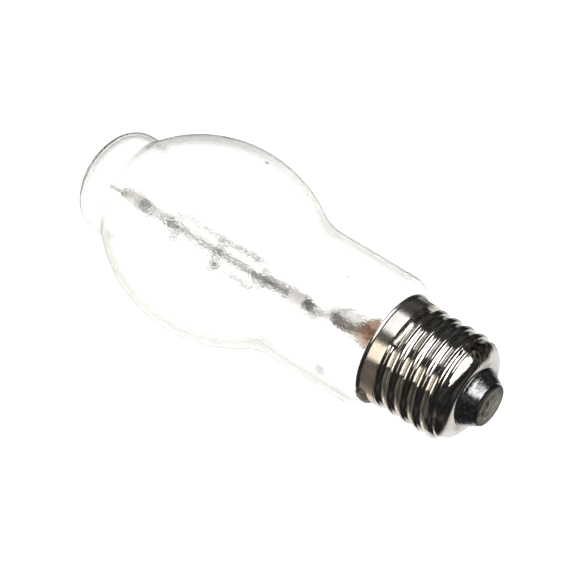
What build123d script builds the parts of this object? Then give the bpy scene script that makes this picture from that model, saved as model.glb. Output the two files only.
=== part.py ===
"""Halogen bulb: a bulged tubular outer bulb on a medium screw base, with a double-ended
quartz capsule inside. Millimetres. Every piece is modelled on the bulb's own axis, with
the contact's face at z = 0 and the glass tip up; the last section lays the bulb down.
+X is the side that faces the viewer in the photograph and +Y the side that is uppermost."""

import os
from math import acos, atan2, cos, degrees, hypot, radians, sin

from build123d import *

# Screw shell: a drawn sheet sleeve with a rolled knuckle thread, seven turns to the inch
PITCH = 25.4 / 7
THREAD_TURNS = 5
CREST_R = 13.1
ROOT_R = 12.0
CREST_AT = 20.1
SHEET = 0.3
SKIRT_R = 13.2
SKIRT_Z = 23.3
LIP_R = 13.8
LIP_CURL = 0.9
RIM_Z = 27.6
END_Z = 4.3
END_R = 7.6
END_CURL = CREST_R - END_R
SECTION_FOOT = 4.0
SECTION_DEPTH = 0.4
CORE_LAP = 0.04

# Contact end
CONTACT_R = 5.2
CONTACT_THICK = 0.8
CONTACT_EDGE = 0.25
INSULATOR_FACE_R = 5.6
INSULATOR_TOP = 8.0
INSULATOR_EDGE = 0.6
INSULATOR_SEAT = 48.0
LEAD_HOLE_R = 0.9
CENTRE_SOLDER_R = 3.4
CENTRE_SOLDER_FLAT_R = 2.0
CENTRE_SOLDER_RISE = 0.35
CENTRE_SOLDER_TOP = 0.5
SIDE_SOLDER_TURN = -80.0
SIDE_SOLDER_SPAN = 26.0
SIDE_SOLDER_BELOW = 2.6
SIDE_SOLDER_SLOPE = 1.4
SIDE_SOLDER_PROUD = 0.3
SIDE_SOLDER_LAP = 0.6
SIDE_SOLDER_ABOVE = 0.15
SIDE_SOLDER_SUNK = 0.1

# Outer bulb: blown glass of even wall
WALL = 0.8
TIP_Z = 116.0
DOME_RISE = 8.5
DOME_CURL = 6.2
END_TUBE_R = 13.1
STEP_BEND = 2.0
BULGE_R = 23.8
BULGE_Z = 79.0
BULGE_ARC = 34.5
BODY_R = 16.5
BODY_BEND = 16.0
SHOULDER_Z = 28.1
SHOULDER_BEND = 3.5
NECK_R = 11.0
NECK_BEND = 1.5
NECK_END = 17.5

# Stem: a flared tube whose top is pressed flat on the leads
STEM_R = 3.9
STEM_WALL = 0.8
STEM_TOP = 34.0
CAVITY_TOP = 36.7
PRESS_FROM = 37.5
PRESS_TO = 43.0
PRESS_WIDE = 8.6
PRESS_THICK = 3.0
PRESS_ROUND = 1.2
PRESS_EDGE = 0.6
PRESS_TURN = 155.0
LEAD_OFFSET = 2.45
EXHAUST_R = 1.6
EXHAUST_BORE = 1.0
EXHAUST_TIP = 10.5
EXHAUST_TIP_ROUND = 1.44
EXHAUST_TIP_SOLID = 2.5
EXHAUST_HOLE_R = 0.6
EXHAUST_HOLE_DOWN = 0.6
EXHAUST_HOLE_TILT = -40.0

# Wires: radii, and the heights and radii of their bends
OUTER_LEAD_R = 0.2
DUMET_R = 0.2
DUMET_TOP = 42.0
FRAME_R = 0.5
MOLY_R = 0.35
SPUD_R = 0.4
CENTRE_LEAD_RUN = 0.9
CENTRE_LEAD_SLANT = 1.8
SIDE_LEAD_OVER_LIP = 0.25
SIDE_LEAD_TOP_R = 12.3
SIDE_LEAD_KINK_FROM = 25.2
SIDE_LEAD_LOW_R = 11.35
SIDE_LEAD_KINK_TO = 23.2
SIDE_LEAD_UNDER_FLARE = 14.6
SIDE_LEAD_AT_STEM = 12.6
SHORT_LEAD_STRAIGHT = 0.9
SHORT_LEAD_WELD_FROM = 4.2
SHORT_LEAD_WELD_TO = 0.8
FRAME_STRAIGHT = 2.2
FRAME_ASIDE = 6.2
FRAME_BEYOND = 3.2

# Basing cement: the ring between neck and shell
CEMENT_FROM = 20.5
CEMENT_TO = 26.4
CEMENT_CLEAR = 0.1

# Capsule: quartz tube pinched flat at both ends, its axis beside the bulb's
CAPSULE_X = -1.5
CAPSULE_Y = -1.9
CAPSULE_R = 3.9
CAPSULE_WALL = 1.0
CAPSULE_MID = 78.0
CHAMBER_HALF = 15.0
SHOULDER_LONG = 3.5
PINCH_LONG = 12.5
PINCH_WIDE = 7.6
PINCH_THICK = 2.4
PINCH_ROUND = 0.5
PINCH_TURN = 8.0
CAVITY_END = 0.8
CAVITY_SHOULDER = 0.6
NIB_FOOT_R = 1.8
NIB_TIP_R = 0.6
NIB_PROUD = 2.6
NIB_TURN = -60.0
NIB_BEFORE_MID = 1.6
FOIL_LONG = 8.0
FOIL_WIDE = 2.4
FOIL_THICK = 0.12
LEAD_EMBED = 2.5
LEAD_PROUD = 5.0
STRAP_LONG = 4.0
STRAP_THICK = 0.35
STRAP_FROM_END = 1.0

# Filament: a straight coil on the capsule's axis, centred by one loop of wire
COIL_HALF = 12.0
COIL_WIRE_R = 0.15
COIL_CLEAR = 0.01
COIL_R = SPUD_R + COIL_CLEAR + COIL_WIRE_R
COIL_PITCH = 0.8
SPUD_IN_COIL = 1.8
SUPPORT_WIRE_R = 0.2


def turned(*edges):
    """The solid of revolution of a closed outline drawn as (radius, height)."""
    return revolve(Plane.XZ * make_face(Curve() + list(edges)), Axis.Z)


def rod(radius, low, high, x=0.0, y=0.0):
    """A plain round rod along the axis."""
    return Pos(x, y, low) * Cylinder(radius, high - low, align=(Align.CENTER, Align.CENTER, Align.MIN))


def rounded(face, corner, radius):
    """The outline with one corner, named by its place, rounded."""
    nearest = face.vertices().sort_by_distance((*corner, 0))[0]
    return fillet(nearest, radius)


def bent(points, bend):
    """Straight runs through the points, joined by arcs of radius bend."""
    points = [Vector(*p) for p in points]
    edges = []
    start = points[0]
    for before, corner, after in zip(points, points[1:], points[2:]):
        to_before = (before - corner).normalized()
        to_after = (after - corner).normalized()
        half = radians(to_before.get_angle(to_after)) / 2
        cut = bend * cos(half) / sin(half)
        arc_in = corner + to_before * cut
        arc_out = corner + to_after * cut
        middle = corner + (to_before + to_after).normalized() * (bend / sin(half) - bend)
        edges += [Line(start, arc_in), ThreePointArc(arc_in, middle, arc_out)]
        start = arc_out
    edges.append(Line(start, points[-1]))
    return Wire(edges)


def wire(points, radius, bend=1.5):
    """A round wire bent along the points."""
    path = bent(points, bend)
    return sweep(Plane(path @ 0, z_dir=path % 0) * Circle(radius), path=path)


def around(radius, turn, height):
    """A point at a radius and an angle round the axis."""
    return (radius * cos(radians(turn)), radius * sin(radians(turn)), height)


# Base


def threaded(inset):
    """The solid that the threaded sheet encloses, inset from the sheet's outer face.
    The section is the knuckle of two equal arcs, one for the crest and one for the root,
    carried along the helix. It is cut just short of the root line, where a plain core
    takes over, and below by the round end of the shell."""
    half_pitch = PITCH / 2
    sweep_angle = 2 * atan2(CREST_R - ROOT_R, half_pitch)
    knuckle = half_pitch / 2 / sin(sweep_angle)
    crest = knuckle - inset
    root = knuckle + inset
    crest_centre = CREST_R - knuckle
    root_centre = ROOT_R + knuckle
    last = radians(SECTION_FOOT)
    mid = (sweep_angle + last) / 2
    flank = (crest_centre + crest * cos(sweep_angle), crest * sin(sweep_angle))
    middle = (root_centre - root * cos(mid), half_pitch - root * sin(mid))
    foot = (root_centre - root * cos(last), half_pitch - root * sin(last))
    inside = ROOT_R - inset - SECTION_DEPTH

    def below(point):
        return (point[0], -point[1])

    section = make_face(
        Curve()
        + [
            ThreePointArc(below(flank), (crest_centre + crest, 0), flank),
            ThreePointArc(flank, middle, foot),
            Polyline(foot, (inside, foot[1]), (inside, -foot[1]), below(foot)),
            ThreePointArc(below(foot), below(middle), below(flank)),
        ]
    )
    helix = Helix(PITCH, THREAD_TURNS * PITCH, (CREST_R + ROOT_R) / 2)
    ridge = Pos(0, 0, CREST_AT - (THREAD_TURNS - 1) * PITCH) * sweep(
        Plane.XZ * section, path=helix, is_frenet=True
    )
    core = rod(ROOT_R - inset + CORE_LAP, END_Z - SHEET, RIM_Z)
    low = END_Z + inset
    curl_z = END_Z + END_CURL
    high = SKIRT_Z + 1 - inset
    limit = turned(
        Line((0, low), (END_R, low)),
        CenterArc((END_R, curl_z), END_CURL - inset, -90, 90),
        Polyline(
            (CREST_R - inset, curl_z),
            (CREST_R + 1, curl_z),
            (CREST_R + 1, high),
            (0, high),
            (0, low),
        ),
    )
    away = Rot(0, 0, 180)
    return (ridge + away * core) & (away * limit)


def skirt(inset):
    """The plain sleeve above the thread, whose rim is turned out in a small lip."""
    curl_from = RIM_Z - LIP_CURL
    radius = SKIRT_R - inset
    low = SKIRT_Z + inset
    return turned(
        Polyline((0, low), (radius, low), (radius, curl_from)),
        TangentArc((radius, curl_from), (LIP_R - inset, RIM_Z), tangent=(0, 1)),
        Polyline((LIP_R - inset, RIM_Z), (0, RIM_Z), (0, low)),
    )


def base_shell():
    """One sheet sleeve: lip, skirt, rolled thread and round end, open at both ends."""
    hole = rod(END_R, END_Z - 1, END_Z + 1)
    return threaded(0) + skirt(0) - threaded(SHEET) - skirt(SHEET) - hole


def base_insulator():
    """Black glass moulded into the shell's round end, with the lead's hole through it."""
    curl_z = END_Z + END_CURL
    curl = END_CURL - SHEET
    lift = radians(INSULATOR_SEAT)
    seat = (END_R + curl * sin(lift), curl_z - curl * cos(lift))
    midway = (END_R + curl * sin(lift / 2), curl_z - curl * cos(lift / 2))
    face = make_face(
        Curve()
        + [
            Polyline(
                (LEAD_HOLE_R, INSULATOR_TOP),
                (LEAD_HOLE_R, CONTACT_THICK),
                (INSULATOR_FACE_R, CONTACT_THICK),
                (END_R, END_Z),
                (END_R, END_Z + SHEET),
            ),
            ThreePointArc((END_R, END_Z + SHEET), midway, seat),
            Polyline(seat, (seat[0], INSULATOR_TOP), (LEAD_HOLE_R, INSULATOR_TOP)),
        ]
    )
    face = rounded(face, (seat[0], INSULATOR_TOP), INSULATOR_EDGE)
    return revolve(Plane.XZ * face, Axis.Z)


def contact_plate():
    """A pressed disc on the insulator's end, its rim eased and its middle open."""
    face = make_face(
        Polyline(
            (LEAD_HOLE_R, 0),
            (CONTACT_R, 0),
            (CONTACT_R, CONTACT_THICK),
            (LEAD_HOLE_R, CONTACT_THICK),
            close=True,
        )
    )
    face = rounded(face, (CONTACT_R, 0), CONTACT_EDGE)
    return revolve(Plane.XZ * face, Axis.Z)


def centre_solder():
    """The low mound of solder on the contact, worn flat, and its plug in the lead's hole."""
    low = -CENTRE_SOLDER_RISE
    high = CENTRE_SOLDER_TOP
    return turned(
        Line((0, low), (CENTRE_SOLDER_FLAT_R, low)),
        TangentArc((CENTRE_SOLDER_FLAT_R, low), (CENTRE_SOLDER_R, 0), tangent=(1, 0)),
        Polyline((CENTRE_SOLDER_R, 0), (LEAD_HOLE_R, 0), (LEAD_HOLE_R, high), (0, high), (0, low)),
    )


def side_solder(shell, lead):
    """The dab that joins the side lead to the lip, lapped over the rim."""
    low = RIM_Z - SIDE_SOLDER_BELOW
    full = low + SIDE_SOLDER_SLOPE
    over = LIP_R + SIDE_SOLDER_PROUD
    high = RIM_Z + SIDE_SOLDER_ABOVE
    inner = (SKIRT_R - SIDE_SOLDER_SUNK, low)
    section = make_face(
        Polyline(inner, (over, full), (over, high), (LIP_R - SIDE_SOLDER_LAP, high), close=True)
    )
    section = rounded(section, (over, full), 0.8)
    section = rounded(section, (over, high), 0.3)
    first = Rot(0, 0, SIDE_SOLDER_TURN - SIDE_SOLDER_SPAN / 2)
    dab = first * revolve(Plane.XZ * section, Axis.Z, SIDE_SOLDER_SPAN)
    return dab - shell - lead


def basing_cement(lead):
    """The ring of cement that holds the neck in the shell, moulded round the side lead."""
    bore = NECK_R
    thin = ROOT_R - SHEET - CEMENT_CLEAR
    wide = SKIRT_R - SHEET
    step = SKIRT_Z + SHEET + CEMENT_CLEAR
    outline = Polyline(
        (bore, CEMENT_FROM),
        (thin, CEMENT_FROM),
        (thin, step),
        (wide, step),
        (wide, CEMENT_TO),
        (bore, CEMENT_TO),
        close=True,
    )
    return turned(outline) - lead


# Glass


def bulb_face(inset):
    """Half section of what the outer bulb encloses, inset from its outer face: domed tip
    tube, round bulge, straight body, shoulder and the narrow neck inside the base."""
    tube = END_TUBE_R - inset
    body = BODY_R - inset
    neck = NECK_R - inset
    shoulder = SHOULDER_Z + inset
    dome_z = TIP_Z - DOME_RISE
    curl_x = END_TUBE_R - DOME_CURL
    crown = (curl_x**2 + DOME_RISE**2 - DOME_CURL**2) / (DOME_RISE - DOME_CURL) / 2
    crown_z = TIP_Z - crown
    turn = degrees(atan2(dome_z - crown_z, curl_x))
    arc = BULGE_ARC - inset
    arc_x = BULGE_R - BULGE_ARC
    upper = degrees(acos((tube - arc_x) / arc))
    lower = degrees(acos((body - arc_x) / arc))
    tube_z = BULGE_Z + arc * sin(radians(upper))
    body_z = BULGE_Z - arc * sin(radians(lower))
    face = make_face(
        Curve()
        + [
            CenterArc((0, crown_z), crown - inset, turn, 90 - turn),
            CenterArc((curl_x, dome_z), DOME_CURL - inset, 0, turn),
            Line((tube, dome_z), (tube, tube_z)),
            CenterArc((arc_x, BULGE_Z), arc, -lower, upper + lower),
            Polyline(
                (body, body_z),
                (body, shoulder),
                (neck, shoulder),
                (neck, NECK_END),
                (0, NECK_END),
                (0, TIP_Z - inset),
            ),
        ]
    )
    face = rounded(face, (tube, tube_z), STEP_BEND + inset)
    face = rounded(face, (body, body_z), BODY_BEND + inset)
    face = rounded(face, (body, shoulder), SHOULDER_BEND - inset)
    return rounded(face, (neck, shoulder), NECK_BEND + inset)


def outer_bulb():
    """Blown glass, open only at the neck's end, where the stem closes it."""
    return revolve(Plane.XZ * bulb_face(0), Axis.Z) - revolve(Plane.XZ * bulb_face(WALL), Axis.Z)


def flattened(radius, tube_top, flat, flat_z):
    """The run from a round tube to the flat section of a press."""
    return loft([Pos(0, 0, tube_top) * Circle(radius), Pos(0, 0, flat_z) * flat])


def stem_glass(sealed):
    """Flare, tube and press in one piece of glass, closed on the wires that pass it."""
    bell = NECK_R - WALL - STEM_R
    bell_x = NECK_R - WALL
    bell_z = NECK_END + bell
    shell = turned(
        Line((STEM_R, STEM_TOP), (STEM_R, bell_z)),
        CenterArc((bell_x, bell_z), bell, 180, 90),
        Polyline(
            (bell_x, NECK_END),
            (NECK_R, NECK_END),
            (NECK_R, NECK_END - STEM_WALL),
            (bell_x, NECK_END - STEM_WALL),
        ),
        CenterArc((bell_x, bell_z), bell + STEM_WALL, 180, 90),
        Polyline((STEM_R - STEM_WALL, bell_z), (STEM_R - STEM_WALL, STEM_TOP), (STEM_R, STEM_TOP)),
    )
    section = RectangleRounded(PRESS_WIDE, PRESS_THICK, PRESS_ROUND)
    outer = flattened(STEM_R, STEM_TOP, section, PRESS_FROM)
    hollow = SlotOverall(PRESS_WIDE - 2 * STEM_WALL, PRESS_THICK - 2 * STEM_WALL)
    cavity = flattened(STEM_R - STEM_WALL, STEM_TOP, hollow, CAVITY_TOP)
    slab = Pos(0, 0, PRESS_FROM) * extrude(section, PRESS_TO - PRESS_FROM)
    slab = fillet(slab.edges().group_by(Axis.Z)[-1], PRESS_EDGE)
    hole_start = Pos(0, 0, CAVITY_TOP - EXHAUST_HOLE_DOWN)
    hole = hole_start * Rot(EXHAUST_HOLE_TILT, 0, 0) * rod(EXHAUST_HOLE_R, 0, STEM_R)
    press = Rot(0, 0, PRESS_TURN) * (outer + slab - cavity - hole)
    glass = shell + press
    for piece in sealed:
        glass -= piece
    return glass


def exhaust_blank():
    """The outside of the exhaust tube, with its melted round tip."""
    tube = rod(EXHAUST_R, EXHAUST_TIP, CAVITY_TOP)
    return fillet(tube.edges().group_by(Axis.Z)[0], EXHAUST_TIP_ROUND)


def exhaust_tube():
    """The tube the bulb was emptied through, its lower end melted shut."""
    return exhaust_blank() - rod(EXHAUST_BORE, EXHAUST_TIP + EXHAUST_TIP_SOLID, CAVITY_TOP)


# Leads through the base and the stem


def centre_outer_lead():
    """From the centre contact up past the exhaust tube to the press."""
    low = CENTRE_SOLDER_TOP
    x, y, _ = around(LEAD_OFFSET, PRESS_TURN, 0)
    turn_z = INSULATOR_TOP + CENTRE_LEAD_RUN
    points = [(0, 0, low), (0, 0, turn_z), (x, y, turn_z + CENTRE_LEAD_SLANT), (x, y, CAVITY_TOP)]
    return wire(points, OUTER_LEAD_R, 0.8)


def side_outer_lead():
    """From the shell's lip down between neck and shell, under the flare and up the stem."""
    over_lip = RIM_Z + SIDE_LEAD_OVER_LIP
    points = [
        around(LIP_R + OUTER_LEAD_R, SIDE_SOLDER_TURN, over_lip),
        around(SIDE_LEAD_TOP_R, SIDE_SOLDER_TURN, over_lip),
        around(SIDE_LEAD_TOP_R, SIDE_SOLDER_TURN, SIDE_LEAD_KINK_FROM),
        around(SIDE_LEAD_LOW_R, SIDE_SOLDER_TURN, SIDE_LEAD_KINK_TO),
        around(SIDE_LEAD_LOW_R, SIDE_SOLDER_TURN, SIDE_LEAD_UNDER_FLARE),
        around(LEAD_OFFSET, PRESS_TURN - 180, SIDE_LEAD_AT_STEM),
        around(LEAD_OFFSET, PRESS_TURN - 180, CAVITY_TOP),
    ]
    return wire(points, OUTER_LEAD_R, 0.6)


def dumet(turn):
    """The short seal wire inside the press."""
    x, y, _ = around(LEAD_OFFSET, turn, 0)
    return rod(DUMET_R, CAVITY_TOP, DUMET_TOP, x, y)


# Capsule and its mount, in the capsule's own place


def at_capsule(x, y, z):
    """A point given from the capsule's axis, as a point on the bulb's axis."""
    turn = radians(PINCH_TURN)
    return (CAPSULE_X + x * cos(turn) - y * sin(turn), CAPSULE_Y + x * sin(turn) + y * cos(turn), z)


def capsule_place():
    return Pos(CAPSULE_X, CAPSULE_Y, 0) * Rot(0, 0, PINCH_TURN)


def both_ends(piece):
    """The same piece at the near end and, turned over, at the far end."""
    turned_over = Pos(0, 0, 2 * CAPSULE_MID) * Rot(180, 0, 0)
    return capsule_place() * piece, capsule_place() * (turned_over * piece)


def fill_nib():
    """The drawn-off stump of the tube through which the capsule was filled."""
    low = CAPSULE_R - CAPSULE_WALL / 2
    neck = CAPSULE_R + NIB_PROUD - NIB_TIP_R
    stump = turned(
        Polyline((0, neck + NIB_TIP_R), (0, low), (NIB_FOOT_R, low)),
        Bezier((NIB_FOOT_R, low), (NIB_TIP_R, low + NIB_TIP_R), (NIB_TIP_R, neck)),
        CenterArc((0, neck), NIB_TIP_R, 0, 90),
    )
    return Pos(0, 0, CAPSULE_MID - NIB_BEFORE_MID) * Rot(0, 0, NIB_TURN) * Rot(0, 90, 0) * stump


def capsule_quartz(sealed):
    """A thick quartz tube, both ends pinched flat on the foils, with its fill nib."""
    tube_from = CAPSULE_MID - CHAMBER_HALF + SHOULDER_LONG
    pinch_top = CAPSULE_MID - CHAMBER_HALF
    half_tube = rod(CAPSULE_R, tube_from, CAPSULE_MID)
    pinch_section = RectangleRounded(PINCH_WIDE, PINCH_THICK, PINCH_ROUND)
    pinch = Pos(0, 0, pinch_top - PINCH_LONG) * extrude(pinch_section, PINCH_LONG)
    shoulder = loft([Pos(0, 0, pinch_top) * pinch_section, Pos(0, 0, tube_from) * Circle(CAPSULE_R)])
    cavity = turned(
        Polyline(
            (0, pinch_top + CAVITY_END),
            (SPUD_R, pinch_top + CAVITY_END),
            (CAPSULE_R - CAPSULE_WALL, tube_from + CAVITY_SHOULDER),
            (CAPSULE_R - CAPSULE_WALL, CAPSULE_MID),
            (0, CAPSULE_MID),
            close=True,
        )
    )
    half = half_tube + shoulder + pinch - cavity
    near, far = both_ends(half)
    glass = near + far + capsule_place() * fill_nib()
    for piece in sealed:
        glass -= piece
    return glass


def foils():
    """Thin molybdenum strips inside the pinches."""
    low = CAPSULE_MID - CHAMBER_HALF - PINCH_LONG + LEAD_EMBED
    return both_ends(Pos(0, 0, low + FOIL_LONG / 2) * Box(FOIL_WIDE, FOIL_THICK, FOIL_LONG))


def capsule_outer_leads():
    """Molybdenum rods from the foils out of the pinches."""
    pinch_end = CAPSULE_MID - CHAMBER_HALF - PINCH_LONG
    return both_ends(rod(MOLY_R, pinch_end - LEAD_PROUD, pinch_end + LEAD_EMBED))


def capsule_inner_leads():
    """Tungsten spuds from the foils into the ends of the coil."""
    foil_end = CAPSULE_MID - CHAMBER_HALF - PINCH_LONG + LEAD_EMBED + FOIL_LONG
    return both_ends(rod(SPUD_R, foil_end, CAPSULE_MID - COIL_HALF + SPUD_IN_COIL))


def straps():
    """Nickel bands round the pinches, welded to the frame wire."""
    pinch_end = CAPSULE_MID - CHAMBER_HALF - PINCH_LONG
    grown = 2 * STRAP_THICK
    outer = RectangleRounded(PINCH_WIDE + grown, PINCH_THICK + grown, PINCH_ROUND + STRAP_THICK)
    inner = RectangleRounded(PINCH_WIDE, PINCH_THICK, PINCH_ROUND)
    return both_ends(Pos(0, 0, pinch_end + STRAP_FROM_END) * extrude(outer - inner, STRAP_LONG))


def filament():
    """The coil: one tungsten wire wound along the capsule's axis."""
    path = Helix(COIL_PITCH, 2 * COIL_HALF, COIL_R)
    coil = sweep(Plane(path @ 0, z_dir=path % 0) * Circle(COIL_WIRE_R), path=path, is_frenet=True)
    return capsule_place() * Pos(0, 0, CAPSULE_MID - COIL_HALF) * coil


def filament_support():
    """A loop that bears on the quartz, with an eye round the coil."""
    loop_r = CAPSULE_R - CAPSULE_WALL - SUPPORT_WIRE_R
    eye_r = COIL_R + COIL_WIRE_R + COIL_CLEAR + SUPPORT_WIRE_R
    spoke = Rot(0, 90, 0) * rod(SUPPORT_WIRE_R, eye_r, loop_r)
    body = Torus(loop_r, SUPPORT_WIRE_R) + Torus(eye_r, SUPPORT_WIRE_R) + spoke
    return capsule_place() * Pos(0, 0, CAPSULE_MID) * body


def short_lead():
    """Nickel wire from the press to the capsule's near lead, welded beside it."""
    x, y, _ = around(LEAD_OFFSET, PRESS_TURN - 180, 0)
    pinch_end = CAPSULE_MID - CHAMBER_HALF - PINCH_LONG
    beside = MOLY_R + FRAME_R
    points = [
        (x, y, DUMET_TOP),
        (x, y, PRESS_TO + SHORT_LEAD_STRAIGHT),
        at_capsule(beside, 0, pinch_end - SHORT_LEAD_WELD_FROM),
        at_capsule(beside, 0, pinch_end - SHORT_LEAD_WELD_TO),
    ]
    return wire(points, FRAME_R, 1.0)


def frame_wire():
    """Nickel wire from the press along the capsule and over to its far lead."""
    x, y, _ = around(LEAD_OFFSET, PRESS_TURN, 0)
    side = -(PINCH_WIDE / 2 + STRAP_THICK + FRAME_R)
    far_end = CAPSULE_MID + CHAMBER_HALF + PINCH_LONG
    points = [
        (x, y, DUMET_TOP),
        (x, y, PRESS_TO + FRAME_STRAIGHT),
        at_capsule(side, 0, PRESS_TO + FRAME_ASIDE),
        at_capsule(side, 0, far_end + FRAME_BEYOND),
        at_capsule(-MOLY_R, 0, far_end + FRAME_BEYOND),
    ]
    return wire(points, FRAME_R, 1.2)


# Assembly on the bulb's own axis

side_lead = side_outer_lead()
centre_lead = centre_outer_lead()
shell = base_shell()
side_dumet = dumet(PRESS_TURN - 180)
centre_dumet = dumet(PRESS_TURN)
short = short_lead()
frame = frame_wire()
near_foil, far_foil = foils()
near_outer, far_outer = capsule_outer_leads()
near_inner, far_inner = capsule_inner_leads()
near_strap, far_strap = straps()

pieces = {
    "base_shell": shell,
    "base_insulator": base_insulator(),
    "contact_plate": contact_plate(),
    "centre_solder": centre_solder(),
    "side_solder": side_solder(shell, side_lead),
    "basing_cement": basing_cement(side_lead),
    "outer_bulb": outer_bulb(),
    "stem_glass": stem_glass([exhaust_blank(), side_dumet, centre_dumet, short, frame]),
    "exhaust_tube": exhaust_tube(),
    "centre_outer_lead": centre_lead,
    "side_outer_lead": side_lead,
    "centre_dumet": centre_dumet,
    "side_dumet": side_dumet,
    "short_lead": short,
    "frame_wire": frame,
    "near_strap": near_strap,
    "far_strap": far_strap,
    "capsule_quartz": capsule_quartz([near_foil, far_foil, near_outer, far_outer, near_inner, far_inner]),
    "near_foil": near_foil,
    "far_foil": far_foil,
    "near_outer_lead": near_outer,
    "far_outer_lead": far_outer,
    "near_inner_lead": near_inner,
    "far_inner_lead": far_inner,
    "filament": filament(),
    "filament_support": filament_support(),
}

# Place: the bulb lies on its bulge and on the last turn of its thread, tip raised, to -X,
# and has rolled until its heavier side, where the capsule is, is down

REST_R = 12.92
REST_Z = 8.41
VIEW_TURN = radians(45)

drop = REST_R + BULGE_ARC - BULGE_R
along = BULGE_Z - REST_Z
lie = radians(90) - acos(BULGE_ARC / hypot(drop, along)) - atan2(drop, along)
tipward = Vector(-cos(lie), 0, sin(lie))
raised = Vector(sin(lie), 0, cos(lie))
viewer = raised * cos(VIEW_TURN) - tipward.cross(raised) * sin(VIEW_TURN)
contact_high = BULGE_ARC - (BULGE_ARC - BULGE_R) * cos(lie) - BULGE_Z * sin(lie)
lying = Plane(Vector(0, 0, contact_high), x_dir=viewer, z_dir=tipward).location
placed = {name: lying * piece for name, piece in pieces.items()}

low_x = min(piece.bounding_box().min.X for piece in placed.values())
high_x = max(piece.bounding_box().max.X for piece in placed.values())
centred = Pos(-(low_x + high_x) / 2, 0, 0)
print("tilt", degrees(lie), "axis height at the contact", contact_high, "length", high_x - low_x)

os.makedirs("parts", exist_ok=True)
for name, piece in placed.items():
    export_step(centred * piece, f"parts/{name}.step")
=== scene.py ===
from math import cos, radians, sin

import bmesh
import bpy
from mathutils import Matrix, Vector


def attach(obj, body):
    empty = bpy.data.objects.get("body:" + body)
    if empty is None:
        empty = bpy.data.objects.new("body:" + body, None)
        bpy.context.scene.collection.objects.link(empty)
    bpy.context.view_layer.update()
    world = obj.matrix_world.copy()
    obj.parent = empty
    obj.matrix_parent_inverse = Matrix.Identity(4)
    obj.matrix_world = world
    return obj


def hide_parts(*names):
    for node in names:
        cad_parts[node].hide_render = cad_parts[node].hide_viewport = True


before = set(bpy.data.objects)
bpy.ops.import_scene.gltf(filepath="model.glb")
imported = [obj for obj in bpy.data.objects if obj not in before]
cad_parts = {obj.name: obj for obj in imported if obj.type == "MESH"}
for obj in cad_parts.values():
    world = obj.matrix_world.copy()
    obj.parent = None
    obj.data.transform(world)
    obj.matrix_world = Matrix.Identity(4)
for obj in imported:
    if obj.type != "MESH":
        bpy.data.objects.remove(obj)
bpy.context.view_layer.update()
scene = bpy.context.scene


# Camera: the photograph is a long-lens view from above the contact end, with the bulb lying across the
# picture. The lens and the contact's place in the view were fitted to the bulb's outline and its base.
AZIMUTH = radians(37.76)
ELEVATION = radians(34.73)
LENS_MM = 237.5
SENSOR_MM = 36.0
FAR_CLIP = 20.0
CONTACT = Vector((0.056986, 0.0, 0.011425))
CONTACT_IN_VIEW = (0.0454, 0.0266, 0.853)

right = Vector((cos(AZIMUTH), sin(AZIMUTH), 0.0))
forward = Vector((-sin(AZIMUTH) * cos(ELEVATION), cos(AZIMUTH) * cos(ELEVATION), -sin(ELEVATION)))
down = forward.cross(right)
across, below, away = CONTACT_IN_VIEW
eye = CONTACT - right * across - down * below - forward * away
camera = bpy.data.objects.new("camera", bpy.data.cameras.new("camera"))
camera.data.lens = LENS_MM
camera.data.sensor_width = SENSOR_MM
camera.data.clip_end = FAR_CLIP
camera.matrix_world = Matrix.Translation(eye) @ Matrix((right, -down, -forward)).transposed().to_4x4()
scene.collection.objects.link(camera)
scene.camera = camera


# Studio: white paper under the bulb, in a dim room with three soft boxes. The nickel and the glass mirror
# the room's bright and dark parts; the paper itself doesn't show in them.
class Sock:
    """A shader socket whose operators add Math nodes."""

    def __init__(self, tree, socket):
        self.tree = tree
        self.socket = socket

    def math(self, operation, *values):
        return node(self.tree, "ShaderNodeMath", {"operation": operation}, *values)

    def __add__(self, other):
        return self.math("ADD", self, other)

    def __sub__(self, other):
        return self.math("SUBTRACT", self, other)

    def __rsub__(self, other):
        return self.math("SUBTRACT", other, self)

    def __mul__(self, other):
        return self.math("MULTIPLY", self, other)

    def __truediv__(self, other):
        return self.math("DIVIDE", self, other)

    __radd__ = __add__
    __rmul__ = __mul__


def opaque(shade):
    """A colour with its alpha, from three numbers or from one."""
    return (*shade, 1.0) if isinstance(shade, tuple) else (shade, shade, shade, 1.0)


def node(tree, kind, settings, *values, out=0, **named):
    """Adds a node: its settings first, then its sockets by place or by name."""
    made = tree.nodes.new(kind)
    for key, value in settings.items():
        if key == "stops":
            for element, (place, shade) in zip(made.color_ramp.elements, value):
                element.position = place
                element.color = opaque(shade)
        else:
            setattr(made, key, value)
    sockets = [(made.inputs[i], v) for i, v in enumerate(values)]
    sockets += [(made.inputs[k.replace("_", " ")], v) for k, v in named.items()]
    for socket, value in sockets:
        if isinstance(value, Sock):
            tree.links.new(value.socket, socket)
        elif value is not None:
            socket.default_value = value
    return Sock(tree, made.outputs[out]) if made.outputs else None


def noise(tree, place, scale, detail=3.0):
    return node(tree, "ShaderNodeTexNoise", {}, place, Scale=scale, Detail=detail)


def spread(tree, value, low, high, start=0.0, end=1.0):
    """A smooth change from start to end as value goes from low to high."""
    smooth = {"interpolation_type": "SMOOTHSTEP"}
    return node(tree, "ShaderNodeMapRange", smooth, value, low, high, start, end)


def blend(tree, share, first, second):
    """A colour between two, share of the way to the second."""
    first, second = [opaque(c) if isinstance(c, tuple) else c for c in (first, second)]
    return node(tree, "ShaderNodeMix", {"data_type": "RGBA"}, share, *[None] * 5, first, second, out=2)


def ramp(tree, value, low, high, first, second):
    """The first colour below low, the second above high, and between them a straight change."""
    return node(tree, "ShaderNodeValToRGB", {"stops": [(low, first), (high, second)]}, value)


def surface(tree, **values):
    return node(tree, "ShaderNodeBsdfPrincipled", {}, **values)


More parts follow.
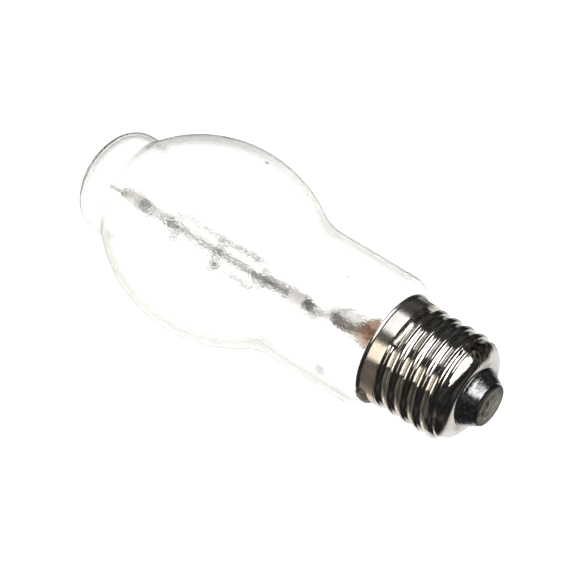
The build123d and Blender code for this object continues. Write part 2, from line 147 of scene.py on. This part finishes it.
def finish(name, build):
    """A material whose shader build makes from the object's coordinates."""
    material = bpy.data.materials.new(name)
    material.use_nodes = True
    tree = material.node_tree
    tree.nodes.clear()
    place = node(tree, "ShaderNodeTexCoord", {}, out="Object")
    node(tree, "ShaderNodeOutputMaterial", {}, build(tree, place))
    return material


PAPER_HALF = 4.0
PAPER_GLOW = 1.1


def paper(tree, place):
    shade = ramp(tree, noise(tree, place, 30.0), 0.3, 0.7, 0.39, 0.41)
    white = (1.0, 1.0, 1.0, 1.0)
    return surface(tree, Base_Color=shade, Roughness=0.9, Emission_Color=white, Emission_Strength=PAPER_GLOW)


sweep = bpy.data.meshes.new("floor")
bm = bmesh.new()
bmesh.ops.create_grid(bm, x_segments=8, y_segments=8, size=PAPER_HALF)
bm.to_mesh(sweep)
bm.free()
sweep.materials.append(finish("white_paper", paper))
floor = bpy.data.objects.new("floor", sweep)
scene.collection.objects.link(floor)
floor.visible_glossy = False

world = bpy.data.worlds.new("studio")
scene.world = world
world.use_nodes = True
world.node_tree.nodes.clear()
sky = world.node_tree
direction = node(sky, "ShaderNodeTexCoord", {}, out="Generated")


def toward(azimuth, elevation):
    """The unit vector of a direction, the azimuth counted from -Y towards +X."""
    turn, rise = radians(azimuth), radians(elevation)
    return (sin(turn) * cos(rise), -cos(turn) * cos(rise), sin(rise))


def patch(azimuth, elevation, inner, outer):
    """1 within an angle of a direction, fading to 0."""
    dot = {"operation": "DOT_PRODUCT"}
    near = node(sky, "ShaderNodeVectorMath", dot, direction, toward(azimuth, elevation), out="Value")
    return spread(sky, near, cos(radians(outer)), cos(radians(inner)))


WARM = (1.0, 0.86, 0.72)
WHITE = (1.0, 1.0, 1.0)

table_top = patch(165.0, -46.0, 24.0, 36.0)
table_left = patch(-70.0, -58.0, 8.0, 24.0)
table_low = patch(-120.0, -60.0, 14.0, 24.0)
table_near = patch(-32.0, -22.0, 10.0, 34.0)
behind = patch(-166.0, -12.0, 7.0, 15.0)
dim = spread(sky, noise(sky, direction, 2.2, 2.0), 0.45, 0.70, 0.015, 0.09)
tone = blend(sky, table_left + table_near, WHITE, WARM)
table = table_top * 0.9 + table_left * 0.3 + table_low * 0.85 + table_near * 0.13
walls = node(sky, "ShaderNodeBackground", {}, tone, table + behind * 0.4 + dim)
node(sky, "ShaderNodeOutputWorld", {}, walls)


def soft_box(name, place, aim, width, height, power, tint=WHITE):
    lamp = bpy.data.lights.new(name, "AREA")
    lamp.shape = "RECTANGLE"
    lamp.size = width
    lamp.size_y = height
    lamp.energy = power
    lamp.color = tint
    turn = (Vector(aim) - Vector(place)).to_track_quat("-Z", "Y").to_matrix().to_4x4()
    holder = bpy.data.objects.new(name, lamp)
    holder.matrix_world = Matrix.Translation(place) @ turn
    holder.visible_camera = False
    scene.collection.objects.link(holder)


BASE_PLACE = (0.04, 0.0, 0.015)
LAMP_WARM = (1.0, 0.93, 0.82)
soft_box("overhead", (-0.27, 0.0, 1.0), (-0.27, 0.0, 0.0), width=0.46, height=0.86, power=1.95)
soft_box("left", (-0.327, -0.853, 0.407), BASE_PLACE, width=0.70, height=0.6, power=2.6, tint=LAMP_WARM)
soft_box("right", (0.90, -0.08, 0.52), BASE_PLACE, width=1.05, height=0.6, power=9.0)

scene.view_settings.view_transform = "Standard"
scene.cycles.max_bounces = 24
scene.cycles.transmission_bounces = 16
scene.cycles.transparent_max_bounces = 24
scene.cycles.blur_glossy = 0.5


# Base shell: a sleeve of thin sheet, drawn, its thread rolled in, with bright nickel plate. The plate is
# drawn into fine lines round the axis, duller on the skirt, and burnt dark beside the insulator.
AXIS_TURN = (0.0, radians(9.1112 - 90.0), 0.0)
THREAD_END = 0.0228
SKIRT_FADE = 0.0015
BURN = (0.0521, 0.0016, 0.0240)
BURN_FROM = 0.0024
BURN_TO = 0.0046
BURN_RAGGED = 0.003
DIRT_R = 0.0094
DIRT_FADE = 0.0014
LINES_ACROSS = 130.0
LINES_ALONG = 2400.0
NICKEL_RELIEF = 0.00003
NICKEL_DEEP = (0.60, 0.56, 0.50)
NICKEL_BRIGHT = (0.82, 0.79, 0.75)
NICKEL_DULL = (0.46, 0.41, 0.35)
DIRT = (0.30, 0.24, 0.17)
SOOT = (0.012, 0.010, 0.009)
SCALE = (0.16, 0.13, 0.10)


def merged(name, node_name, material, crease=35.0):
    """A piece in place of a CAD node: its triangles welded, so that the surface is smooth."""
    bm = bmesh.new()
    bm.from_mesh(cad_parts[node_name].data)
    bmesh.ops.remove_doubles(bm, verts=bm.verts, dist=1e-7)
    for face in bm.faces:
        face.smooth = True
    for edge in bm.edges:
        edge.smooth = edge.calc_face_angle(0.0) < radians(crease)
    mesh = bpy.data.meshes.new(name)
    bm.to_mesh(mesh)
    bm.free()
    mesh.materials.append(material)
    piece = bpy.data.objects.new(name, mesh)
    scene.collection.objects.link(piece)
    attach(piece, "root")
    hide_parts(node_name)
    return piece


def on_axis(tree, place):
    """The place in the bulb's own frame: z from the contact to the tip, x upwards."""
    return node(tree, "ShaderNodeMapping", {"vector_type": "TEXTURE"}, place, CONTACT, AXIS_TURN)


def height_of(tree, own):
    return node(tree, "ShaderNodeSeparateXYZ", {}, own, out="Z")


def radius_of(tree, own):
    flat = node(tree, "ShaderNodeVectorMath", {"operation": "MULTIPLY"}, own, (1.0, 1.0, 0.0))
    return node(tree, "ShaderNodeVectorMath", {"operation": "LENGTH"}, flat, out="Value")


def streaks(tree, own, scales):
    """A noise with its own scale along each of the bulb's axes."""
    return noise(tree, node(tree, "ShaderNodeMapping", {"vector_type": "POINT"}, own, Scale=scales), 1.0, 4.0)


def shaken(tree, place, scale, reach):
    """The place moved by up to reach along each axis by a noise, for ragged edges."""
    push = node(tree, "ShaderNodeTexNoise", {}, place, Scale=scale, Detail=3.0, out="Color")
    reaches = (reach, reach, reach)
    return node(tree, "ShaderNodeVectorMath", {"operation": "MULTIPLY_ADD"}, push, reaches, place)


def spot(tree, place, centre, inner, outer, reach):
    """1 within a distance of a point, fading to 0, on a place shaken by reach."""
    middle = tuple(c + reach / 2.0 for c in centre)
    gap = node(tree, "ShaderNodeVectorMath", {"operation": "DISTANCE"}, place, middle, out="Value")
    return spread(tree, gap, inner, outer, 1.0, 0.0)


def relief(tree, height, depth):
    return node(tree, "ShaderNodeBump", {}, Height=height, Strength=1.0, Distance=depth)


def nickel(tree, place):
    own = on_axis(tree, place)
    cloud = noise(tree, place, 130.0, 6.0)
    grain = noise(tree, place, 2600.0)
    lumps = node(tree, "ShaderNodeTexVoronoi", {}, place, Scale=620.0)
    lines = streaks(tree, own, (LINES_ACROSS, LINES_ACROSS, LINES_ALONG))
    skirt = spread(tree, height_of(tree, own), THREAD_END, THREAD_END + SKIRT_FADE)
    edge = shaken(tree, place, 260.0, BURN_RAGGED)
    burnt = spot(tree, edge, BURN, BURN_FROM, BURN_TO, BURN_RAGGED)
    dirt = spread(tree, radius_of(tree, own), DIRT_R, DIRT_R - DIRT_FADE) * spread(tree, cloud, 0.42, 0.62)
    plate = ramp(tree, cloud, 0.30, 0.65, NICKEL_DEEP, NICKEL_BRIGHT)
    worn = blend(tree, skirt * spread(tree, cloud, 0.55, 0.35) * 0.4, plate, NICKEL_DULL)
    soiled = blend(tree, dirt * 0.8, worn, DIRT)
    return surface(
        tree,
        Base_Color=blend(tree, burnt, soiled, ramp(tree, lumps, 0.1, 0.6, SOOT, SCALE)),
        Metallic=1.0,
        Roughness=skirt * 0.12 + cloud * 0.10 + 0.05 + dirt * 0.15 + burnt * 0.25,
        Normal=relief(tree, lines * (1.0 - burnt) + grain * 0.5 + lumps * burnt * 8.0, NICKEL_RELIEF),
    )


shell = merged("shell", "base_shell", finish("nickel_plate", nickel))


# Insulator: black glass poured hot round the contact, so it is glossy, rippled and a little cloudy.
# It holds the contact in the shell's round end.
INSULATOR_INDEX = 1.8
INSULATOR_RIPPLE = 0.00025
GLASS_BLACK = (0.005, 0.005, 0.006)
GLASS_CLOUDED = (0.020, 0.020, 0.022)


def black_glass(tree, place):
    ripple = noise(tree, place, 420.0)
    haze = noise(tree, place, 900.0, 5.0)
    return surface(
        tree,
        Base_Color=ramp(tree, haze, 0.4, 0.8, GLASS_BLACK, GLASS_CLOUDED),
        Roughness=spread(tree, haze, 0.35, 0.65, 0.14, 0.30),
        IOR=INSULATOR_INDEX,
        Specular_IOR_Level=1.0,
        Coat_Weight=1.0,
        Coat_Roughness=0.18,
        Coat_IOR=INSULATOR_INDEX,
        Normal=relief(tree, ripple + haze * 0.4, INSULATOR_RIPPLE),
    )


insulator = merged("insulator", "base_insulator", finish("black_glass", black_glass))


# Contact: a pressed disc held by the insulator, oxidised, dark at its rim and scratched by the socket's
# spring. A mound of solder, worn flat, fills its middle round the lead, and a dab joins lip and lead.
CONTACT_R = 0.0052
CONTACT_RIM = 0.0009
CONTACT_EDGE = 0.0003
SCRAPES = (300.0, 2600.0, 300.0)
CONTACT_RELIEF = 0.00004
OXIDE = (0.05, 0.043, 0.033)
CONTACT_GREY = (0.26, 0.23, 0.185)
SCRAPED = (0.42, 0.38, 0.33)
RIM_DARK = (0.06, 0.05, 0.04)
SOLDER_RELIEF = 0.0004
SOLDER_DARK = (0.05, 0.043, 0.035)
SOLDER_GREY = (0.34, 0.31, 0.26)


def contact_metal(tree, place):
    own = on_axis(tree, place)
    blotch = noise(tree, place, 520.0, 6.0)
    scrape = streaks(tree, own, SCRAPES)
    worn = ramp(tree, blotch, 0.32, 0.68, OXIDE, CONTACT_GREY)
    scored = blend(tree, spread(tree, scrape, 0.55, 0.68) * 0.6, worn, SCRAPED)
    rim = spread(tree, radius_of(tree, own), CONTACT_R - CONTACT_RIM, CONTACT_R - CONTACT_EDGE)
    return surface(
        tree,
        Base_Color=blend(tree, rim, scored, RIM_DARK),
        Metallic=0.9,
        Roughness=blotch * 0.3 + 0.3,
        Normal=relief(tree, scrape + blotch, CONTACT_RELIEF),
    )


contact = merged("contact", "contact_plate", finish("contact_metal", contact_metal))


def solder(tree, place):
    lump = noise(tree, place, 620.0, 4.0)
    return surface(
        tree,
        Base_Color=ramp(tree, lump, 0.34, 0.66, SOLDER_DARK, SOLDER_GREY),
        Metallic=0.9,
        Roughness=lump * 0.3 + 0.25,
        Normal=relief(tree, lump, SOLDER_RELIEF),
    )


dull_solder = finish("solder", solder)
for name, node_name in (("contact_solder", "centre_solder"), ("lip_solder", "side_solder")):
    merged(name, node_name, dull_solder)


# Cement: a ring of brown phenolic cement baked between the neck and the skirt, which holds the base on
# the bulb. It is seen only through the glass.
CEMENT_DARK = (0.20, 0.10, 0.06)
CEMENT_LIGHT = (0.42, 0.25, 0.16)


def dress(material, *names):
    """Gives CAD nodes that stay as they are their material."""
    for name in names:
        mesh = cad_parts[name].data
        mesh.materials.clear()
        mesh.materials.append(material)


def cement(tree, place):
    grain = noise(tree, place, 600.0, 5.0)
    return surface(tree, Base_Color=ramp(tree, grain, 0.3, 0.7, CEMENT_DARK, CEMENT_LIGHT), Roughness=0.85)


dress(finish("cement", cement), "basing_cement")


# Outer bulb: thin blown glass, very lightly frosted, so what is inside looks soft. Its neck sits in the
# base's cement. A pale film, denser where the glass turns away, makes the soft edge that frosting gives.
# On the upper side, over the bulge and the dome, the film is darkened into painted shade.
BULB_INDEX = 1.12
BULB_TINT = (0.995, 0.995, 0.985)
FROST_RELIEF = 0.00018
FILM_PALE = (0.92, 0.93, 0.85)
# The dark film colour: painted shade on the bulge and the dome, and the smears' own colour.
FILM_SHADE_AND_SMEARS = (0.17, 0.18, 0.14)
# The side of the bulb that is given painted shade.
SHADED_SIDE = (0.859, 0.512, 0.0)
# Heights from which the painted shade covers the bulge and the dome.
BULGE_SHADE_FROM = 0.075
BULGE_SHADE_FADE = 0.014
DOME_SHADE_FROM = 0.102
DOME_SHADE_FADE = 0.006
SMEAR_RAGGED = 0.0016
# Smears: the place on the glass, the radii where each is full and where it ends, and how dense it is.
SMEARS = (
    ((0.0212, -0.0163, 0.0150), 0.0004, 0.0026, 0.16),
    ((0.0287, -0.0150, 0.0180), 0.0003, 0.0020, 0.09),
    ((0.0265, -0.0163, 0.0146), 0.0002, 0.0012, 0.08),
    ((-0.0126, 0.0078, 0.0450), 0.0002, 0.0006, 0.60),
    ((0.0199, -0.0043, 0.0335), 0.0001, 0.0005, 0.60),
)


def frosted(tree, place):
    own = on_axis(tree, place)
    height = height_of(tree, own)
    side = node(tree, "ShaderNodeVectorMath", {"operation": "DOT_PRODUCT"}, own, SHADED_SIDE, out="Value")
    slant = node(tree, "ShaderNodeLayerWeight", {}, Blend=0.5, out="Facing")
    frost = spread(tree, slant, 0.20, 0.60, 1.0, 0.0)
    grain = noise(tree, place, 2400.0, 1.0) * 0.7 + noise(tree, place, 1100.0, 1.0)
    glass = surface(
        tree,
        Base_Color=opaque(BULB_TINT),
        Roughness=frost * 0.16 + 0.08,
        IOR=BULB_INDEX,
        Transmission_Weight=1.0,
        Normal=relief(tree, grain * frost, FROST_RELIEF),
    )
    # Painted shade: the film darkens over the bulge and the dome on the bulb's upper side.
    bulge_shade = spread(tree, side, 0.008, 0.020) * spread(tree, height, BULGE_SHADE_FROM, BULGE_SHADE_FROM + BULGE_SHADE_FADE)
    dome_shade = spread(tree, side, -0.006, 0.006) * spread(tree, height, DOME_SHADE_FROM, DOME_SHADE_FROM + DOME_SHADE_FADE)
    ragged = shaken(tree, place, 500.0, SMEAR_RAGGED)
    smears = 0.0
    for centre, inner, outer, share in SMEARS:
        smears = smears + spot(tree, ragged, centre, inner, outer, SMEAR_RAGGED) * share
    shade = blend(tree, bulge_shade * 0.42 + dome_shade * 0.75 + smears * 12.0, FILM_PALE, FILM_SHADE_AND_SMEARS)
    film = surface(tree, Base_Color=shade, Roughness=0.8)
    haze = bulge_shade * 0.012 + dome_shade * 0.020 + smears + 0.003
    rim = spread(tree, slant, 0.45, 0.95, 0.0, 0.50)
    return node(tree, "ShaderNodeMixShader", {}, haze / (1.05 - slant) + rim, glass, film)


bulb = merged("glass_bulb", "outer_bulb", finish("bulb_glass", frosted), crease=60.0)


# Stem: lead glass, pressed flat round the leads and melted to the bulb's neck at its flare. The exhaust
# tube in it was melted shut. Its lower part carries a painted refraction: the brown of the cement seen
# through the glass.
BROWN_TO = 0.037
BROWN_FADE = 0.003
# Painted refraction: the brown of the cement below, seen through the stem's lower part.
STEM_PAINTED_CEMENT = (0.66, 0.53, 0.44)
STEM_CLEAR = (0.90, 0.89, 0.88)


def lead_glass(tree, place):
    height = height_of(tree, on_axis(tree, place))
    clear = spread(tree, height, BROWN_TO - BROWN_FADE, BROWN_TO + BROWN_FADE)
    return surface(
        tree,
        Base_Color=blend(tree, clear, STEM_PAINTED_CEMENT, STEM_CLEAR),
        Roughness=0.05,
        IOR=1.5,
        Transmission_Weight=1.0,
        Normal=relief(tree, noise(tree, place, 700.0), 0.0002),
    )


stem_look = finish("stem_glass", lead_glass)
for name, node_name in (("stem", "stem_glass"), ("exhaust", "exhaust_tube")):
    merged(name, node_name, stem_look)


# Leads: thin copper wires from the contact and the shell up to the press, and inside the press red-brown
# wires with a copper skin, which seal to the glass.
COPPER_DARK = (0.45, 0.20, 0.10)
COPPER_BRIGHT = (0.65, 0.34, 0.20)
SEAL_DARK = (0.35, 0.08, 0.05)
SEAL_RED = (0.50, 0.16, 0.10)


def copper(tree, place):
    shade = ramp(tree, noise(tree, place, 800.0), 0.3, 0.7, COPPER_DARK, COPPER_BRIGHT)
    return surface(tree, Base_Color=shade, Metallic=1.0, Roughness=0.35)


def borated(tree, place):
    shade = ramp(tree, noise(tree, place, 800.0), 0.3, 0.7, SEAL_DARK, SEAL_RED)
    return surface(tree, Base_Color=shade, Metallic=0.6, Roughness=0.4)


dress(finish("copper_wire", copper), "centre_outer_lead", "side_outer_lead")
dress(finish("dumet", borated), "centre_dumet", "side_dumet")


# Mount: drawn nickel wire that carries the capsule from the stem, and nickel straps bent round the capsule's
# pressed ends and welded to the wire. Both are painted lighter than nickel, the straps most: painted light.
WIRE_GREY = (0.62, 0.61, 0.59)
WIRE_LIGHT = (0.80, 0.78, 0.75)
# Painted light: the straps' colours are a lighter copy of the wire's nickel.
STRAP_LIT_GREY = (0.86, 0.85, 0.83)
STRAP_LIT_PALE = (0.97, 0.96, 0.94)


def wire_nickel(tree, place):
    grain = noise(tree, place, 500.0, 4.0)
    shade = ramp(tree, grain, 0.3, 0.7, WIRE_GREY, WIRE_LIGHT)
    return surface(tree, Base_Color=shade, Metallic=0.1, Roughness=grain * 0.2 + 0.3)


# Painted light: the straps are the wire's nickel, painted lighter.
def lit_strap_nickel(tree, place):
    grain = noise(tree, place, 500.0, 4.0)
    shade = ramp(tree, grain, 0.3, 0.7, STRAP_LIT_GREY, STRAP_LIT_PALE)
    return surface(tree, Base_Color=shade, Metallic=0.0, Roughness=grain * 0.2 + 0.3)


dress(finish("nickel_wire", wire_nickel), "short_lead", "frame_wire")
dress(finish("nickel_strap_lit", lit_strap_nickel), "near_strap", "far_strap")


# Capsule: a clear quartz tube pressed flat on the foils at both ends. Heat has left its near end, where
# it is pressed, grey.
GREY_FROM = 0.0525
GREY_TO = 0.0635
QUARTZ_CLEAR = (0.97, 0.97, 0.96)
QUARTZ_GREY = (0.55, 0.53, 0.50)
QUARTZ_INDEX = 1.35


def quartz(tree, place):
    height = height_of(tree, on_axis(tree, place))
    rise = spread(tree, height, GREY_FROM - 0.001, GREY_FROM + 0.002)
    fall = spread(tree, height, GREY_TO - 0.003, GREY_TO + 0.001, 1.0, 0.0)
    return surface(
        tree,
        Base_Color=blend(tree, rise * fall, QUARTZ_CLEAR, QUARTZ_GREY),
        Roughness=0.03,
        IOR=QUARTZ_INDEX,
        Transmission_Weight=1.0,
        Normal=relief(tree, noise(tree, place, 300.0), 0.0001),
    )


capsule = merged("capsule", "capsule_quartz", finish("quartz", quartz))


# Foils and rods of the capsule's ends: thin molybdenum strips sealed in the quartz, with a molybdenum rod
# welded to each that carries the current out.
MOLY_DARK = (0.38, 0.37, 0.35)
MOLY_LIGHT = (0.56, 0.55, 0.52)


def moly(tree, place):
    shade = ramp(tree, noise(tree, place, 700.0, 4.0), 0.3, 0.7, MOLY_DARK, MOLY_LIGHT)
    return surface(tree, Base_Color=shade, Metallic=0.5, Roughness=0.4)


dress(finish("molybdenum", moly), "near_foil", "far_foil", "near_outer_lead", "far_outer_lead")


# Filament: a coil of dark tungsten wire held between two tungsten spuds, with a loop at its middle that
# keeps it on the capsule's axis.
TUNGSTEN_DARK = (0.22, 0.22, 0.22)
TUNGSTEN_LIGHT = (0.40, 0.40, 0.41)


def tungsten(tree, place):
    shade = ramp(tree, noise(tree, place, 900.0, 4.0), 0.3, 0.7, TUNGSTEN_DARK, TUNGSTEN_LIGHT)
    return surface(tree, Base_Color=shade, Metallic=0.5, Roughness=0.4)


dress(finish("tungsten", tungsten), "near_inner_lead", "far_inner_lead", "filament", "filament_support")
